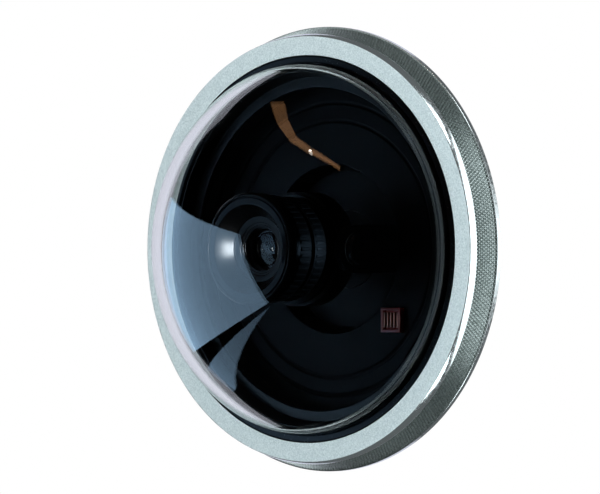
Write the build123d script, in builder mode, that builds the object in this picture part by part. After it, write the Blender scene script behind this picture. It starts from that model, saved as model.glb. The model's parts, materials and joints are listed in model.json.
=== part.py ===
"""Flush-mounted dome camera on a three-axis gimbal, in millimetres.

The camera looks along -Y, away from the wall or ceiling that it is fixed to, and +Z is up.
The origin is the centre of the flange's back face. A height is always measured from that
face along -Y, towards the dome, so whatever lies inside the wall has a negative height.
"""

from build123d import *
import math
import os

# --- Driving dimensions ------------------------------------------------------------------
can_r = 58.0  # the round can that goes into the wall
can_depth = 19.0
can_wall = 2.5
mount_land = 7.6  # width of the flange between the can and the rim, for the fixing screws
rim_t = 4.1  # thickness of the raised rim that carries the thread
rim_h = 7.0
dome_inset = 3.0  # from the inside of the rim in to the outside of the dome
dome_wall = 2.8
knuckle_r = 12.0  # the bend between the dome's cap and its upright foot
cap_spread = 6.9  # the cap's sphere is this much larger than the dome's foot
tilt_rise = 22.8  # from the turntable to the tilt axis
journal_r = 16.0  # where the lens unit turns in the cradle
barrel_r = 14.5
gap = 0.3  # between faces that turn or slide past each other
pin_gap = 0.05  # all round a pin that turns in its hole
seat_gap = 0.2  # between sealed faces, taken up by the seal
thread_gap = 0.5  # between the two threads, which are left as plain cylinders

# --- Radii that follow from them, from the can outwards ----------------------------------
can_bore_r = can_r - can_wall
rim_inner_r = can_r + mount_land
thread_r = rim_inner_r + rim_t
dome_r = rim_inner_r - dome_inset
cap_r = dome_r + cap_spread
dome_inner_r = dome_r - dome_wall

# --- Planes and axes ---------------------------------------------------------------------
FRONT = Plane(origin=(0, 0, 0), x_dir=(1, 0, 0), z_dir=(0, -1, 0))  # x right, y up
PROFILE = Plane(origin=(0, 0, 0), x_dir=(1, 0, 0), z_dir=(0, 0, -1))  # x radius, y height
CENTRE_LINE = Axis((0, 0, 0), (0, -1, 0))

os.makedirs("parts", exist_ok=True)


# --- Helpers -----------------------------------------------------------------------------
def spin(*outline, mode=Mode.ADD):
    """Revolve a closed outline of (radius, height) points about the camera's axis."""
    with BuildSketch(PROFILE) as section:
        with BuildLine():
            Polyline(*outline, close=True)
        make_face()
    revolve(section.sketch, axis=CENTRE_LINE, mode=mode)


def tube(low, high, outer, inner, mode=Mode.ADD):
    """A round tube about the camera's axis, from one height to another."""
    spin((inner, low), (outer, low), (outer, high), (inner, high), mode=mode)


def rods(places, low, high, radius, mode=Mode.ADD):
    """Round rods along the camera's axis at the given (x, z) places."""
    with BuildSketch(FRONT.offset(low)) as ends:
        with Locations(*places):
            Circle(radius)
    extrude(ends.sketch, amount=high - low, mode=mode)


def blocks(places, low, high, width, height, mode=Mode.ADD):
    """Upright blocks at the given (x, z) places, from one height to another."""
    with BuildSketch(FRONT.offset(low)) as feet:
        with Locations(*places):
            Rectangle(width, height)
    extrude(feet.sketch, amount=high - low, mode=mode)


recess_width = 0.5  # a screw's hexagon recess, as a share of its head's radius
recess_depth = 0.55  # and of its head's height


def screws(places, seat, head_r, head_h, shank_r, shank_end):
    """Pan-head screws with a hexagon recess, their heads on the given height."""
    rods(places, seat, seat + head_h, head_r)
    rods(places, shank_end, seat, shank_r)
    with BuildSketch(FRONT.offset(seat + head_h)) as recess:
        with Locations(*places):
            RegularPolygon(head_r * recess_width, 6)
    extrude(recess.sketch, amount=-head_h * recess_depth, mode=Mode.SUBTRACT)


def polar(radius, *angles):
    """The (x, z) places at a radius and these angles in degrees, anticlockwise from +X."""
    turns = [math.radians(angle) for angle in angles]
    return [(radius * math.cos(turn), radius * math.sin(turn)) for turn in turns]


def around(count, radius, start=0.0):
    """The (x, z) places of equal steps round a circle."""
    return polar(radius, *[start + 360 * step / count for step in range(count)])


def write(piece, name):
    """Label a finished piece and write it under its name."""
    piece.part.label = name
    export_step(piece.part, f"parts/{name}.step")


# --- Housing: sizes ----------------------------------------------------------------------
flange_t = 3.0
floor_t = 2.5
floor_h = -can_depth + floor_t
edge_cut = 2.0  # chamfer round the back of the can
groove_r = rim_inner_r + 1.9  # middle of the O-ring groove in the top of the rim
groove_w = 2.2
groove_d = 1.5
oring_w = 2.0
oring_round = 0.6
mount_inset = 3.5  # from the can's wall out to the middle of the fixing screws
mount_circle_r = can_r + mount_inset
mount_hole_r = 2.25
wall_seal_r = rim_inner_r + 0.4  # middle of the rubber ring let into the flange's back
wall_seal_w = 2.5
wall_seal_t = 1.0
blind = 1.0  # floor left under a blind hole in the can
screw_air = 0.2  # past the end of a screw in its blind hole

# --- Gimbal: sizes -----------------------------------------------------------------------
cradle_r = journal_r + 3.2
cradle_half = 4.0
arm_in = cradle_r + 0.8  # from the axis to the inside of each arm
arm_t = 2.5
arm_w = 16.0
foot_len = 5.4  # each arm's foot, towards the axis
foot_in = arm_in - foot_len
foot_t = 2.5
trunnion_r = 3.0
trunnion_head_r = 5.5
trunnion_head_t = 2.2
trunnion_key_r = 2.3
trunnion_key_d = 1.4
trunnion_edge = 0.5
tilt_washer_t = 0.5
turntable_r = arm_in + arm_t + 4.0
turntable_t = 3.2
base_r = turntable_r - 0.5
base_t = 3.0
base_top = floor_h + base_t
spigot_r = 9.0
pan_washer_r = 17.0
pan_washer_t = 0.5
turntable_low = base_top + pan_washer_t
turntable_top = turntable_low + turntable_t
tilt_h = turntable_top + tilt_rise
retainer_r = 13.0
retainer_t = 1.3
retainer_sink = 0.1  # below the turntable's top
retainer_low = turntable_top - retainer_sink - retainer_t
retainer_high = turntable_top - retainer_sink
stop_r = turntable_r - 4.5  # circle on which the pan stop peg stands
stop_peg_r = 0.9
stop_peg_h = 1.4
stop_groove_d = 1.6
stop_lug_angle = 10.0
gimbal_screw_r = 1.25
base_head_r = 2.3
base_head_t = 1.4
head_gap = 0.2  # round a screw's head that is let in
gimbal_screws = around(4, base_r - 3.4, 45.0)
retainer_screw_r = 0.9
retainer_screws = around(3, 5.5, 90.0)
hole_gap = 0.1  # round a screw's shank in the piece that it holds down

RIGHT = Plane(origin=(0, -tilt_h, 0), x_dir=(0, 0, 1), z_dir=(1, 0, 0))  # x up, y height

# --- Main board and its cover: sizes -----------------------------------------------------
cover_inner_r = turntable_r + 2.0
cover_outer_r = can_bore_r - gap
cover_t = 1.5
cover_skirt_t = 1.2
board_inner_r = cover_inner_r + 2.5
board_outer_r = can_bore_r - 2.5
board_middle_r = (board_inner_r + board_outer_r) / 2
board_t = 1.6
board_gap = 2.0  # under the main board
board_low = floor_h + board_gap
board_top = board_low + board_t
board_slot_w = 26.0  # opening of the C-shaped board, round the cable gland
board_slot_len = 2 * (board_outer_r - board_inner_r + 6.0)
capacitor_h = 8.4  # the tallest piece on the board
cover_air = 1.0  # between it and the cover
cover_top = board_top + capacitor_h + cover_air + cover_t
board_posts = polar(board_outer_r - 4.0, 60, 120, 200, 340)
post_r = 2.8
board_screw_r = 1.05
gland_place = (0.0, -board_inner_r - 9.0)
gland_thread_r = 6.0

# --- Lens unit: sizes --------------------------------------------------------------------
holder_tail_r = journal_r - 1.0
mount_thread_r = 12.7
sensor_board_t = 1.6
sensor_board_h = tilt_h - 8.6
zoom_r = barrel_r + 3.0
zoom_low = tilt_h + 8.5
zoom_len = 5.7
collar_r = barrel_r + 2.3
collar_len = 1.7
focus_r = barrel_r + 3.5
focus_low = zoom_low + zoom_len + collar_len + 2 * gap
focus_len = 6.2
bezel_r = barrel_r + 4.0  # round front of the lens
bezel_len = 5.1
funnel_r = barrel_r  # inner edge of the lens's front face
glass_gap = 0.1  # round a glass in its seat
throat_r = 10.4  # where the funnel meets the flat round the glass
glass_r = 6.3
glass_ring_r = 7.2

# --- Housing: the can, flange and threaded rim -------------------------------------------
mount_places = around(4, mount_circle_r, 45.0)
foot_places = around(3, mount_circle_r, 90.0)
liner_screw_r = 1.2
liner_hole_low = 0.5

with BuildPart() as housing_can:
    spin(
        (0, -can_depth),
        (can_r - edge_cut, -can_depth),
        (can_r, -can_depth + edge_cut),
        (can_r, 0),
        (thread_r, 0),
        (thread_r, rim_h),
        (rim_inner_r, rim_h),
        (rim_inner_r, flange_t),
        (can_bore_r, flange_t),
        (can_bore_r, floor_h),
        (0, floor_h),
    )
    tube(rim_h - groove_d, rim_h, groove_r + groove_w / 2, groove_r - groove_w / 2, Mode.SUBTRACT)
    tube(0, wall_seal_t, wall_seal_r + wall_seal_w / 2, wall_seal_r - wall_seal_w / 2, Mode.SUBTRACT)
    rods(mount_places, 0, flange_t, mount_hole_r, Mode.SUBTRACT)
    rods(foot_places, liner_hole_low, flange_t, liner_screw_r, Mode.SUBTRACT)
    rods([gland_place], -can_depth, floor_h, gland_thread_r, Mode.SUBTRACT)
    rods(board_posts, floor_h, board_low, post_r)
    rods(board_posts, -can_depth + blind, board_low, board_screw_r, Mode.SUBTRACT)
    rods(gimbal_screws, -can_depth + blind, floor_h, gimbal_screw_r, Mode.SUBTRACT)
write(housing_can, "housing_can")

with BuildPart() as wall_gasket:
    tube(0, wall_seal_t, wall_seal_r + wall_seal_w / 2, wall_seal_r - wall_seal_w / 2)
write(wall_gasket, "wall_gasket")

dome_seat_h = rim_h + seat_gap
with BuildPart() as rim_oring:
    tube(rim_h - groove_d, dome_seat_h, groove_r + oring_w / 2, groove_r - oring_w / 2)
    fillet(rim_oring.edges().filter_by(GeomType.CIRCLE), oring_round)
write(rim_oring, "rim_oring")

# --- Trim ring, screwed on to the rim ----------------------------------------------------
dome_flange_t = 2.4
dome_flange_top = dome_seat_h + dome_flange_t
dome_flange_r = thread_r - 0.7
gasket_gap = 0.1
gasket_w = 2.2
gasket_t = 0.8  # under the ring's lip
gasket_sink = 0.2  # below the ring's face
lip_t = 2.1  # thickness of the ring's face
lip_h = dome_flange_top + gasket_t
face_h = lip_h + lip_t
ring_bore_r = thread_r + thread_gap
face_inner_r = dome_r + gasket_gap + gasket_w + gap
face_outer_r = ring_bore_r + 1.6
band_r = face_outer_r + 0.7  # end of the bright bevel round the face
band_h = face_h - 2.6
knurl_end_r = band_r + 2.2  # the knurled side widens towards the wall
knurl_end_h = 2.2
ring_back_h = 0.4
ring_edge = 0.3  # chamfer of the ring's back lip
ring_r = knurl_end_r + ring_edge

with BuildPart() as trim_ring:
    spin(
        (face_inner_r, face_h),
        (face_outer_r, face_h),
        (band_r, band_h),
        (knurl_end_r, knurl_end_h),
        (ring_r, knurl_end_h - ring_edge),
        (ring_r, ring_back_h + ring_edge),
        (ring_r - ring_edge, ring_back_h),
        (ring_bore_r, ring_back_h),
        (ring_bore_r, lip_h),
        (face_inner_r, lip_h),
    )
write(trim_ring, "trim_ring")

# --- Dome and its gasket -----------------------------------------------------------------
knuckle_in = dome_r - knuckle_r
knuckle_h = face_h + 0.9
cap_h = knuckle_h - math.sqrt((cap_r - knuckle_r) ** 2 - knuckle_in**2)  # centre of the cap
knuckle_angle = math.degrees(math.atan2(knuckle_h - cap_h, knuckle_in))
gasket_top = face_h - gasket_sink

with BuildPart() as dome:
    with BuildSketch(PROFILE):
        with BuildLine():
            bend = CenterArc((knuckle_in, knuckle_h), knuckle_r, 0, knuckle_angle)
            CenterArc((0, cap_h), cap_r, knuckle_angle, 90 - knuckle_angle)
            Line((0, cap_h + cap_r), (0, cap_h + cap_r - dome_wall))
            CenterArc((0, cap_h), cap_r - dome_wall, 90, knuckle_angle - 90)
            inner_r = knuckle_r - dome_wall
            inner_bend = CenterArc((knuckle_in, knuckle_h), inner_r, knuckle_angle, -knuckle_angle)
            Polyline(
                inner_bend @ 1,
                (dome_inner_r, dome_seat_h),
                (dome_flange_r, dome_seat_h),
                (dome_flange_r, dome_flange_top),
                (dome_r, dome_flange_top),
                bend @ 0,
            )
        make_face()
    revolve(axis=CENTRE_LINE)
write(dome, "dome")

with BuildPart() as dome_gasket:
    spin(
        (dome_r + gasket_gap, dome_flange_top),
        (dome_flange_r, dome_flange_top),
        (dome_flange_r, lip_h),
        (dome_r + gasket_gap + gasket_w, lip_h),
        (dome_r + gasket_gap + gasket_w, gasket_top),
        (dome_r + gasket_gap, gasket_top),
    )
write(dome_gasket, "dome_gasket")

# --- Black liner inside the dome ---------------------------------------------------------
liner_wall = 0.7
liner_top_r = dome_inner_r - 0.4 - liner_wall
liner_seat_r = liner_top_r - 1.1
liner_h = rim_h
liner_t = 1.4
liner_top = face_h
skirt_r = liner_seat_r - 0.4
skirt_t = 1.4
liner_open_r = skirt_r - 3.2
foot_w = 9.0
foot_end_r = rim_inner_r - 1.2
foot_bite = 0.7  # of each foot inside the skirt
liner_foot_t = 2.0
liner_head_r = 2.3
liner_head_t = 1.6

with BuildPart() as liner:
    spin(
        (liner_open_r, liner_h - liner_t),
        (skirt_r - skirt_t, liner_h - liner_t),
        (skirt_r - skirt_t, flange_t),
        (skirt_r, flange_t),
        (skirt_r, liner_h - liner_t),
        (liner_seat_r + liner_wall, liner_h - liner_t),
        (liner_top_r + liner_wall, liner_top),
        (liner_top_r, liner_top),
        (liner_seat_r, liner_h),
        (liner_open_r, liner_h),
    )
    with BuildSketch(FRONT.offset(flange_t)):
        with PolarLocations((skirt_r - foot_bite + foot_end_r) / 2, 3, start_angle=90):
            Rectangle(foot_end_r - skirt_r + foot_bite, foot_w)
    extrude(amount=liner_foot_t)
    rods(foot_places, flange_t, flange_t + liner_foot_t, liner_screw_r + hole_gap, Mode.SUBTRACT)
write(liner, "liner")

with BuildPart() as liner_screws:
    liner_seat = flange_t + liner_foot_t
    liner_screw_end = liner_hole_low + screw_air
    screws(foot_places, liner_seat, liner_head_r, liner_head_t, liner_screw_r, liner_screw_end)
write(liner_screws, "liner_screws")

# --- Cable gland in the back of the can --------------------------------------------------
gland_flats = 17.0
gland_washer_t = 0.8
gland_hex_t = 4.5
gland_cap_r = 8.4
gland_cap_len = 7.0
cable_r = 3.2
gland_nut_t = 4.0
gland_seal_r = 4.8
gland_core_len = 4.0  # of the body, inside the cap
gland_core_gap = 0.6  # between the cable and the body's bore
gland_end_t = 1.6  # end wall of the cap
gland_end_gap = 0.4
gland_round = 2.0
grip_count = 12
grip_r = 0.7
grip_out = 0.3
gland_back = -can_depth - gland_washer_t
gland_hex_back = gland_back - gland_hex_t
gland_end = gland_hex_back - gland_cap_len


def hex_nut(low, high, hole_r):
    """A hexagon with a round hole, at the gland's place."""
    with BuildSketch(FRONT.offset(low)) as nut:
        with Locations(gland_place):
            RegularPolygon(gland_flats / 2, 6, major_radius=False)
            Circle(hole_r, mode=Mode.SUBTRACT)
    extrude(nut.sketch, amount=high - low)


with BuildPart() as gland_washer:
    rods([gland_place], gland_back, -can_depth, gland_flats / 2)
    rods([gland_place], gland_back, -can_depth, gland_thread_r, Mode.SUBTRACT)
write(gland_washer, "gland_washer")

with BuildPart() as gland_body:
    hex_nut(gland_hex_back, gland_back, gland_seal_r)
    rods([gland_place], gland_back, floor_h + gland_nut_t, gland_thread_r)
    rods([gland_place], gland_hex_back - gland_core_len, gland_hex_back, gland_thread_r)
    rods([gland_place], gland_hex_back - gland_core_len, gland_back, gland_seal_r, Mode.SUBTRACT)
    rods([gland_place], gland_back, floor_h + gland_nut_t, cable_r + gland_core_gap, Mode.SUBTRACT)
write(gland_body, "gland_body")

with BuildPart() as gland_locknut:
    hex_nut(floor_h, floor_h + gland_nut_t, gland_thread_r)
write(gland_locknut, "gland_locknut")

with BuildPart() as gland_cap:
    rods([gland_place], gland_end, gland_hex_back, gland_cap_r)
    fillet(gland_cap.faces().sort_by(Axis.Y)[-1].edges(), gland_round)
    rods([gland_place], gland_hex_back - gland_core_len, gland_hex_back, gland_thread_r, Mode.SUBTRACT)
    rods([gland_place], gland_end + gland_end_t, gland_hex_back, gland_seal_r, Mode.SUBTRACT)
    rods([gland_place], gland_end, gland_hex_back, cable_r + gland_end_gap, Mode.SUBTRACT)
    with BuildSketch(FRONT.offset(gland_hex_back - gland_core_len)) as grips:
        with Locations(gland_place):
            with PolarLocations(gland_cap_r + grip_out, grip_count):
                Circle(grip_r)
    extrude(grips.sketch, amount=gland_core_len, mode=Mode.SUBTRACT)
write(gland_cap, "gland_cap")

with BuildPart() as gland_seal:
    rods([gland_place], gland_end + gland_end_t, gland_back, gland_seal_r)
    rods([gland_place], gland_end + gland_end_t, gland_back, cable_r, Mode.SUBTRACT)
write(gland_seal, "gland_seal")

# --- Main board, round the gimbal --------------------------------------------------------
with BuildPart() as main_board:
    with BuildSketch(FRONT.offset(board_low)):
        Circle(board_outer_r)
        Circle(board_inner_r, mode=Mode.SUBTRACT)
        with Locations((0, -board_outer_r)):
            Rectangle(board_slot_w, board_slot_len, mode=Mode.SUBTRACT)
    extrude(amount=board_t)
    rods(board_posts, board_low, board_top, board_screw_r + hole_gap, Mode.SUBTRACT)
write(main_board, "main_board")

board_head_r = 2.1
board_head_t = 1.5
board_screw_end = -can_depth + blind + screw_air
with BuildPart() as board_screws:
    screws(board_posts, board_top, board_head_r, board_head_t, board_screw_r, board_screw_end)
write(board_screws, "board_screws")

processor_w = 14.0
processor_t = 1.6
processor_cut = 0.8
with BuildPart() as video_processor:
    blocks([(0.0, board_middle_r)], board_top, board_top + processor_t, processor_w, processor_w)
    chamfer(video_processor.edges().filter_by(Axis.Y), processor_cut)
write(video_processor, "video_processor")

memory_w = 8.0
memory_len = 11.0
memory_t = 1.2
memory_side = 16.0  # from the middle of the processor to each memory chip
memory_places = [(side * memory_side, board_middle_r - 3.0) for side in (-1, 1)]
with BuildPart() as memory_chips:
    blocks(memory_places, board_top, board_top + memory_t, memory_w, memory_len)
write(memory_chips, "memory_chips")

capacitor_r = 4.0
capacitor_round = 0.6
capacitor_places = polar(board_middle_r + 1.5, 152.0, 167.5, 183.0)
with BuildPart() as capacitors:
    rods(capacitor_places, board_top, board_top + capacitor_h, capacitor_r)
    capacitor_tops = capacitors.faces().sort_by(Axis.Y).group_by(Axis.Y)[0].edges()
    fillet(capacitor_tops, capacitor_round)
write(capacitors, "capacitors")

inductor_w = 10.0
inductor_h = 4.5
inductor_cut = 2.0
with BuildPart() as power_inductor:
    inductor_places = polar(board_middle_r, 19.3)
    blocks(inductor_places, board_top, board_top + inductor_h, inductor_w, inductor_w)
    chamfer(power_inductor.edges().filter_by(Axis.Y), inductor_cut)
write(power_inductor, "power_inductor")

terminal_place = polar(board_middle_r, 219.3)[0]
terminal_w = 15.0
terminal_d = 8.0
terminal_h = 8.0
wire_pitch = 5.0
wire_hole_r = 1.6
wire_hole_d = 5.0
with BuildPart() as terminal_block:
    terminal_top = board_top + terminal_h
    blocks([terminal_place], board_top, terminal_top, terminal_w, terminal_d)
    wire_holes = [(terminal_place[0] + step * wire_pitch, terminal_place[1]) for step in (-1, 0, 1)]
    rods(wire_holes, terminal_top - wire_hole_d, terminal_top, wire_hole_r, Mode.SUBTRACT)
write(terminal_block, "terminal_block")

video_places = polar(board_outer_r - 6.5, -61.8)
video_r = 4.6
video_bore_r = 3.4
video_pin_r = 0.8
video_h = 7.0
video_base_t = 1.5
video_pin_sink = 1.0
with BuildPart() as video_socket:
    rods(video_places, board_top, board_top + video_h, video_r)
    video_floor = board_top + video_base_t
    rods(video_places, video_floor, board_top + video_h, video_bore_r, Mode.SUBTRACT)
    rods(video_places, video_floor, board_top + video_h - video_pin_sink, video_pin_r)
write(video_socket, "video_socket")

# --- Black cover over the main board, with the service socket ----------------------------
service_place = polar(board_inner_r + 4.7, -41.4)[0]
service_w = 8.6
service_h = 8.4
service_rise = 2.2
service_gap = 0.2
slot_count = 4
slot_pitch = 1.9
slot_w = 1.0
slot_len = 5.6
slot_d = 2.0

with BuildPart() as board_cover:
    tube(cover_top - cover_t, cover_top, cover_outer_r, cover_inner_r)
    tube(turntable_low, cover_top - cover_t, cover_inner_r + cover_skirt_t, cover_inner_r)
    tube(board_top, cover_top - cover_t, cover_outer_r, cover_outer_r - cover_skirt_t)
    blocks([service_place], cover_top - cover_t, cover_top, service_w, service_h, Mode.SUBTRACT)
write(board_cover, "board_cover")

service_top = cover_top + service_rise
with BuildPart() as service_socket:
    blocks([service_place], board_top, service_top, service_w - service_gap, service_h - service_gap)
    slot_steps = [step - (slot_count - 1) / 2 for step in range(slot_count)]
    slots = [(service_place[0] + step * slot_pitch, service_place[1]) for step in slot_steps]
    blocks(slots, service_top - slot_d, service_top, slot_w, slot_len, Mode.SUBTRACT)
write(service_socket, "service_socket")

# --- Gimbal base, screwed to the can's floor ---------------------------------------------
base_head_seat = base_top - base_head_t
retainer_hole_low = floor_h + 0.6
with BuildPart() as gimbal_base:
    tube(floor_h, base_top, base_r, 0.0)
    tube(base_top, retainer_low, spigot_r, 0.0)
    rods([(0.0, stop_r)], base_top, turntable_low + stop_peg_h, stop_peg_r)
    rods(gimbal_screws, floor_h, base_top, gimbal_screw_r, Mode.SUBTRACT)
    rods(gimbal_screws, base_head_seat, base_top, base_head_r + head_gap, Mode.SUBTRACT)
    rods(retainer_screws, retainer_hole_low, retainer_low, retainer_screw_r, Mode.SUBTRACT)
write(gimbal_base, "gimbal_base")

with BuildPart() as gimbal_base_screws:
    base_screw_end = -can_depth + blind + screw_air
    screws(gimbal_screws, base_head_seat, base_head_r, base_head_t, gimbal_screw_r, base_screw_end)
write(gimbal_base_screws, "gimbal_base_screws")

with BuildPart() as pan_washer:
    tube(base_top, turntable_low, pan_washer_r, spigot_r + gap)
write(pan_washer, "pan_washer")

# --- Turntable with two arms, which pans -------------------------------------------------
stop_groove_w = 2 * (stop_peg_r + 0.4)
yoke_screw_r = 1.2
yoke_screw_x = foot_in + foot_len / 2 + hole_gap
yoke_screw_z = 4.6
yoke_screws_right = [(yoke_screw_x, yoke_screw_z), (yoke_screw_x, -yoke_screw_z)]
yoke_screw_places = yoke_screws_right + [(-x, z) for x, z in yoke_screws_right]
yoke_hole_low = turntable_low + 0.5

with BuildPart() as turntable:
    tube(turntable_low, turntable_top, turntable_r, spigot_r + pin_gap)
    pocket_low = retainer_low - hole_gap
    tube(pocket_low, turntable_top, retainer_r + gap, 0.0, Mode.SUBTRACT)
    with BuildSketch(PROFILE.rotated((0, 90 - stop_lug_angle / 2, 0))) as groove:
        with Locations((stop_r, turntable_low + stop_groove_d / 2)):
            Rectangle(stop_groove_w, stop_groove_d)
    stop_arc = 360 - stop_lug_angle
    revolve(groove.sketch, axis=CENTRE_LINE, revolution_arc=stop_arc, mode=Mode.SUBTRACT)
    rods(yoke_screw_places, yoke_hole_low, turntable_top, yoke_screw_r, Mode.SUBTRACT)
write(turntable, "turntable")

with BuildPart() as pan_retainer:
    tube(retainer_low, retainer_high, retainer_r, 0.0)
    retainer_hole_r = retainer_screw_r + hole_gap
    rods(retainer_screws, retainer_low, retainer_high, retainer_hole_r, Mode.SUBTRACT)
write(pan_retainer, "pan_retainer")

retainer_head_r = 1.8
retainer_head_t = 1.0
with BuildPart() as pan_retainer_screws:
    retainer_end = retainer_hole_low + screw_air
    screws(
        retainer_screws, retainer_high, retainer_head_r, retainer_head_t, retainer_screw_r, retainer_end
    )
write(pan_retainer_screws, "pan_retainer_screws")

with BuildPart() as yoke_arms:
    with BuildSketch(RIGHT.offset(arm_in)):
        with BuildLine():
            drop = turntable_top - tilt_h
            Polyline((arm_w / 2, 0), (arm_w / 2, drop), (-arm_w / 2, drop), (-arm_w / 2, 0))
            ThreePointArc((-arm_w / 2, 0), (0, arm_w / 2), (arm_w / 2, 0))
        make_face()
        Circle(trunnion_r + pin_gap, mode=Mode.SUBTRACT)
    extrude(amount=arm_t)
    foot_top = turntable_top + foot_t
    blocks([(foot_in + foot_len / 2, 0.0)], turntable_top, foot_top, foot_len, arm_w)
    rods(yoke_screws_right, turntable_top, foot_top, yoke_screw_r + hole_gap, Mode.SUBTRACT)
    mirror(about=Plane.YZ)
write(yoke_arms, "yoke_arms")

yoke_head_r = 2.1
yoke_head_t = 1.5
with BuildPart() as yoke_screws:
    yoke_screw_end = yoke_hole_low + screw_air + hole_gap
    screws(yoke_screw_places, foot_top, yoke_head_r, yoke_head_t, yoke_screw_r, yoke_screw_end)
write(yoke_screws, "yoke_screws")

washer_in = arm_in + arm_t
with BuildPart() as tilt_washers:
    with BuildSketch(RIGHT.offset(washer_in)):
        Circle(trunnion_head_r)
        Circle(trunnion_r + pin_gap, mode=Mode.SUBTRACT)
    extrude(amount=tilt_washer_t)
    mirror(about=Plane.YZ)
write(tilt_washers, "tilt_washers")

# --- Tilt cradle, between the arms -------------------------------------------------------
boss_end = arm_in - gap
trunnion_floor = 0.9  # wall left between a trunnion's end and the journal
trunnion_in = journal_r + gap + trunnion_floor
with BuildPart() as tilt_cradle:
    tube(tilt_h - cradle_half, tilt_h + cradle_half, cradle_r, 0.0)
    with BuildSketch(RIGHT.offset(-boss_end)):
        Rectangle(2 * cradle_half, 2 * cradle_half)
    extrude(amount=2 * boss_end)
    tube(tilt_h - cradle_half, tilt_h + cradle_half, journal_r + gap, 0.0, Mode.SUBTRACT)
    with BuildSketch(RIGHT.offset(trunnion_in)):
        Circle(trunnion_r)
    extrude(amount=boss_end - trunnion_in, mode=Mode.SUBTRACT)
    with BuildSketch(RIGHT.offset(-trunnion_in)):
        Circle(trunnion_r)
    extrude(amount=trunnion_in - boss_end, mode=Mode.SUBTRACT)
write(tilt_cradle, "tilt_cradle")

head_in = washer_in + tilt_washer_t
with BuildPart() as trunnion_screws:
    with BuildSketch(RIGHT.offset(trunnion_in)):
        Circle(trunnion_r)
    extrude(amount=head_in - trunnion_in)
    with BuildSketch(RIGHT.offset(head_in)):
        Circle(trunnion_head_r)
    extrude(amount=trunnion_head_t)
    chamfer(trunnion_screws.faces().sort_by(Axis.X)[-1].edges(), trunnion_edge)
    with BuildSketch(RIGHT.offset(head_in + trunnion_head_t)):
        RegularPolygon(trunnion_key_r, 6)
    extrude(amount=-trunnion_key_d, mode=Mode.SUBTRACT)
    mirror(about=Plane.YZ)
write(trunnion_screws, "trunnion_screws")

# --- Lens unit, which turns in the cradle ------------------------------------------------
sensor_top = sensor_board_h + sensor_board_t
journal_low = tilt_h - cradle_half - gap
journal_high = tilt_h + cradle_half + gap
holder_flange_r = journal_r + 2.2
holder_flange_t = 2.0
holder_top = journal_high + holder_flange_t
tail_bore_r = 10.5
filter_ledge_r = 8.0
filter_ledge_h = tilt_h - 3.5
filter_ledge_t = 1.1
filter_pocket_r = 9.2
filter_pocket_h = filter_ledge_h + 0.8
filter_t = 0.6
sensor_screws = around(3, holder_tail_r - 2.0, 90.0)
sensor_screw_r = 0.8
sensor_hole_d = 2.2

with BuildPart() as lens_holder:
    spin(
        (tail_bore_r, sensor_top),
        (holder_tail_r, sensor_top),
        (holder_tail_r, journal_low),
        (journal_r, journal_low),
        (journal_r, journal_high),
        (holder_flange_r, journal_high),
        (holder_flange_r, holder_top),
        (mount_thread_r, holder_top),
        (mount_thread_r, filter_pocket_h),
        (filter_pocket_r, filter_pocket_h),
        (filter_pocket_r, filter_ledge_h),
        (filter_ledge_r, filter_ledge_h),
        (filter_ledge_r, filter_ledge_h - filter_ledge_t),
        (tail_bore_r, filter_ledge_h - filter_ledge_t),
    )
    rods(sensor_screws, sensor_top, sensor_top + sensor_hole_d, sensor_screw_r, Mode.SUBTRACT)
write(lens_holder, "lens_holder")

roll_retainer_r = journal_r + 1.8
roll_retainer_t = 1.4
roll_retainer_split = 3.0  # the gap in the clip, so that it can be sprung on
with BuildPart() as roll_retainer:
    clip_low = journal_low - roll_retainer_t
    tube(clip_low, journal_low, roll_retainer_r, holder_tail_r)
    with BuildSketch(FRONT.offset(clip_low)):
        with Locations((0, -roll_retainer_r)):
            Rectangle(roll_retainer_split, 2 * (roll_retainer_r - holder_tail_r) + 1.0)
    extrude(amount=roll_retainer_t, mode=Mode.SUBTRACT)
write(roll_retainer, "roll_retainer")

with BuildPart() as sensor_board:
    tube(sensor_board_h, sensor_top, holder_tail_r, 0.0)
    rods(sensor_screws, sensor_board_h, sensor_top, sensor_screw_r + hole_gap, Mode.SUBTRACT)
write(sensor_board, "sensor_board")

sensor_head_r = 1.5
sensor_head_t = 1.1
with BuildPart() as sensor_board_screws:
    rods(sensor_screws, sensor_board_h, sensor_top + sensor_hole_d - screw_air, sensor_screw_r)
    rods(sensor_screws, sensor_board_h - sensor_head_t, sensor_board_h, sensor_head_r)
write(sensor_board_screws, "sensor_board_screws")

sensor_w = 11.0
sensor_d = 9.0
sensor_t = 1.5
with BuildPart() as image_sensor:
    blocks([(0.0, 0.0)], sensor_top, sensor_top + sensor_t, sensor_w, sensor_d)
write(image_sensor, "image_sensor")

plug_place = (0.0, -5.0)
plug_w = 12.0
plug_d = 4.0
plug_h = 2.2
plug_wall = 1.0
plug_floor = 0.8
with BuildPart() as sensor_connector:
    plug_low = sensor_board_h - plug_h
    blocks([plug_place], plug_low, sensor_board_h, plug_w, plug_d)
    hollow_w, hollow_d = plug_w - 2 * plug_wall, plug_d - 2 * plug_wall
    blocks([plug_place], plug_low, sensor_board_h - plug_floor, hollow_w, hollow_d, Mode.SUBTRACT)
write(sensor_connector, "sensor_connector")

with BuildPart() as ir_filter:
    tube(filter_ledge_h, filter_ledge_h + filter_t, filter_pocket_r - glass_gap, 0.0)
write(ir_filter, "ir_filter")

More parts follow.
